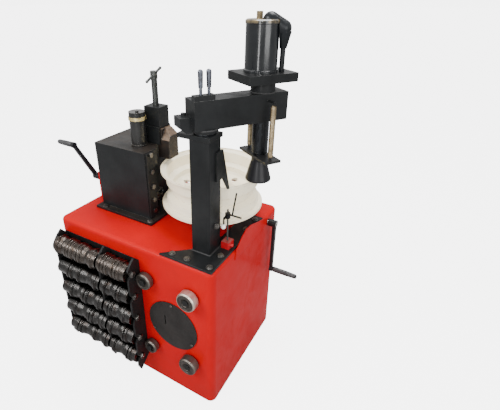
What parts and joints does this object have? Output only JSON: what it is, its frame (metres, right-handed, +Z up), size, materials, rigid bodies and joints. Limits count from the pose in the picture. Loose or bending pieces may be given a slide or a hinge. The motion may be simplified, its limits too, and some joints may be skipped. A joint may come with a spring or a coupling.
{
  "type": "wheel rim straightening machine",
  "caption": "Floor-standing wheel-rim workshop machine with a swinging hydraulic press arm, a clamped steel rim, hand cranks and racks of forming rollers.",
  "frame": {"origin": "centre of the cabinet's footprint on the floor", "axes": "+Z up; -Y is the side with the roller rack and the round cover; +X is the side with the long spindle crank"},
  "size_m": [0.9608, 0.632, 1.349],
  "materials": {
    "red_paint": "semi-gloss enamel, light wear on the edges",
    "black_paint": "satin black paint with oil film",
    "black_enamel": "gloss black enamel",
    "dark_steel": "oiled dark steel, polished on the rings",
    "brown_steel": "browned steel with bright rings",
    "roller_steel": "turned steel, dull",
    "bright_steel": "machined steel",
    "zinc": "zinc plated",
    "yellow_zinc": "yellow zinc plating",
    "cream_paint": "cream primer, scuffed",
    "grip_plastic": "matt black",
    "gauge_red": "gloss",
    "machine_grey": "hammered grey paint"
  },
  "bodies": {
    "cabinet": {"cabinet_shell": "red_paint", "side_lip": "red_paint", "roller_pegs": "dark_steel", "base_frame": "black_paint", "back_panel": "red_paint", "round_cover": "black_paint", "power_gland": "grip_plastic", "column_foot": "black_paint", "column": "black_paint", "pivot_post": "bright_steel", "rim_steady": "black_paint", "fasteners": "zinc", "gauge_stand": "gauge_red", "spindle_housing": "black_paint", "oil_tank": "machine_grey", "pump_motor": "machine_grey", "forming_post": "black_paint", "gib_strip": "black_paint", "feed_pot": "black_enamel", "pot_ring": "yellow_zinc", "crank_bracket": "red_paint", "rack_ribs": "black_paint", "rack_shafts": "dark_steel", "clamp_block": "black_paint"},
    "spindle": {"spindle": "bright_steel", "worm_wheel": "dark_steel", "wheel_rim": "cream_paint", "centring_cone": "bright_steel", "clamp_nut": "bright_steel"},
    "right_crank": {"worm_shaft": "bright_steel", "right_crank_arm": "black_enamel"},
    "right_grip": {"right_crank_grip": "grip_plastic"},
    "forming_ram": {"forming_ram": "dark_steel"},
    "forming_roller": {"forming_roller": "dark_steel"},
    "left_crank": {"lead_screw": "bright_steel", "left_crank_arm": "black_enamel"},
    "left_grip": {"left_crank_grip": "grip_plastic"},
    "tool_bar": {"tool_bar": "brown_steel"},
    "plunger": {"clamp_plunger": "bright_steel"},
    "tee": {"tee_screw": "bright_steel"},
    "arm": {"arm_beam": "black_paint", "press_plate": "black_paint", "press_cylinder": "black_enamel", "oil_line": "black_enamel", "return_springs": "yellow_zinc"},
    "press": {"press_ram": "bright_steel", "crosshead": "black_paint", "press_shoe": "black_enamel"},
    "lever_one": {"valve_lever_1": "grip_plastic"},
    "lever_two": {"valve_lever_2": "grip_plastic"},
    "gauge": {"gauge_arm": "bright_steel"},
    "row_1": {"rack_rollers_1": "brown_steel"},
    "row_2": {"rack_rollers_2": "dark_steel"},
    "row_3": {"rack_rollers_3": "dark_steel"},
    "row_4": {"rack_rollers_4": "dark_steel"},
    "row_5": {"rack_rollers_5": "dark_steel"},
    "spare_1": {"spare_roller_1": "roller_steel"},
    "spare_2": {"spare_roller_2": "roller_steel"},
    "spare_3": {"spare_roller_3": "roller_steel"},
    "spare_4": {"spare_roller_4": "roller_steel"}
  },
  "joints": [
    {"name": "spindle_turn", "type": "hinge", "parent": "cabinet", "child": "spindle", "pos_m": [0.153, 0.068, 0.705], "axis": [0, 0, 1], "continuous": true},
    {"name": "right_crank_turn", "type": "hinge", "parent": "cabinet", "child": "right_crank", "pos_m": [0.3, 0.168, 0.585], "axis": [1, 0, 0], "continuous": true},
    {"name": "right_grip_spin", "type": "hinge", "parent": "right_crank", "child": "right_grip", "pos_m": [0.43, 0.168, 0.365], "axis": [1, 0, 0], "continuous": true},
    {"name": "ram_slide", "type": "slide", "parent": "cabinet", "child": "forming_ram", "axis": [1, 0, 0], "range_m": [-0.035, 0]},
    {"name": "left_crank_turn", "type": "hinge", "parent": "cabinet", "child": "left_crank", "pos_m": [-0.32, -0.02, 0.69], "axis": [1, 0, 0], "range_deg": [-2521, 1]},
    {"name": "left_grip_spin", "type": "hinge", "parent": "left_crank", "child": "left_grip", "pos_m": [-0.42, -0.1092, 0.85776], "axis": [1, 0, 0], "continuous": true},
    {"name": "forming_roller_spin", "type": "hinge", "parent": "forming_ram", "child": "forming_roller", "pos_m": [-0.055, -0.02, 0.69], "axis": [0, 0, 1], "continuous": true},
    {"name": "tool_slide", "type": "slide", "parent": "cabinet", "child": "tool_bar", "axis": [1, 0, 0], "range_m": [-0.005, 0.04]},
    {"name": "clamp_slide", "type": "slide", "parent": "cabinet", "child": "plunger", "axis": [0, 0, 1], "range_m": [0, 0.012]},
    {"name": "tee_turn", "type": "hinge", "parent": "plunger", "child": "tee", "pos_m": [-0.066, 0.032, 1.1], "axis": [0, 0, 1], "range_deg": [0, 1081]},
    {"name": "arm_swing", "type": "hinge", "parent": "cabinet", "child": "arm", "pos_m": [0.26, -0.15, 1.09], "axis": [0, 0, 1], "range_deg": [-100, 25]},
    {"name": "press_slide", "type": "slide", "parent": "arm", "child": "press", "axis": [0, 0, 1], "range_m": [-0.02, 0.062], "deforming": ["return_springs"]},
    {"name": "lever_one_tilt", "type": "hinge", "parent": "arm", "child": "lever_one", "pos_m": [0.26701, -0.17959, 1.141], "axis": [0.5446, 0.8387, 0], "range_deg": [-15, 15], "stiffness_Nm_per_rad": 2},
    {"name": "lever_two_tilt", "type": "hinge", "parent": "arm", "child": "lever_two", "pos_m": [0.28063, -0.15863, 1.141], "axis": [0.5446, 0.8387, 0], "range_deg": [-15, 15], "stiffness_Nm_per_rad": 2},
    {"name": "gauge_swing", "type": "hinge", "parent": "cabinet", "child": "gauge", "pos_m": [0.318, -0.108, 0.747], "axis": [0, 0, 1], "range_deg": [-15, 60]},
    {"name": "row_1_spin", "type": "hinge", "parent": "cabinet", "child": "row_1", "pos_m": [-0.14, -0.303, 0.529], "axis": [1, 0, 0], "continuous": true},
    {"name": "row_2_spin", "type": "hinge", "parent": "cabinet", "child": "row_2", "pos_m": [-0.14, -0.303, 0.428], "axis": [1, 0, 0], "continuous": true},
    {"name": "row_3_spin", "type": "hinge", "parent": "cabinet", "child": "row_3", "pos_m": [-0.14, -0.303, 0.327], "axis": [1, 0, 0], "continuous": true},
    {"name": "row_4_spin", "type": "hinge", "parent": "cabinet", "child": "row_4", "pos_m": [-0.14, -0.303, 0.226], "axis": [1, 0, 0], "continuous": true},
    {"name": "row_5_spin", "type": "hinge", "parent": "cabinet", "child": "row_5", "pos_m": [-0.14, -0.303, 0.125], "axis": [1, 0, 0], "continuous": true},
    {"name": "spare_1_pull", "type": "slide", "parent": "cabinet", "child": "spare_1", "axis": [0, -1, 0], "range_m": [0, 0.045]},
    {"name": "spare_2_pull", "type": "slide", "parent": "cabinet", "child": "spare_2", "axis": [0, -1, 0], "range_m": [0, 0.045]},
    {"name": "spare_3_pull", "type": "slide", "parent": "cabinet", "child": "spare_3", "axis": [0, -1, 0], "range_m": [0, 0.045]},
    {"name": "spare_4_pull", "type": "slide", "parent": "cabinet", "child": "spare_4", "axis": [0, -1, 0], "range_m": [0, 0.045]}
  ],
  "couplings": [
    {"joint": "right_crank_turn", "follows": "spindle_turn", "ratio": 20},
    {"joint": "left_crank_turn", "follows": "ram_slide", "rad_per_m": 1256.6},
    {"joint": "tee_turn", "follows": "clamp_slide", "rad_per_m": 1570.8}
  ]
}
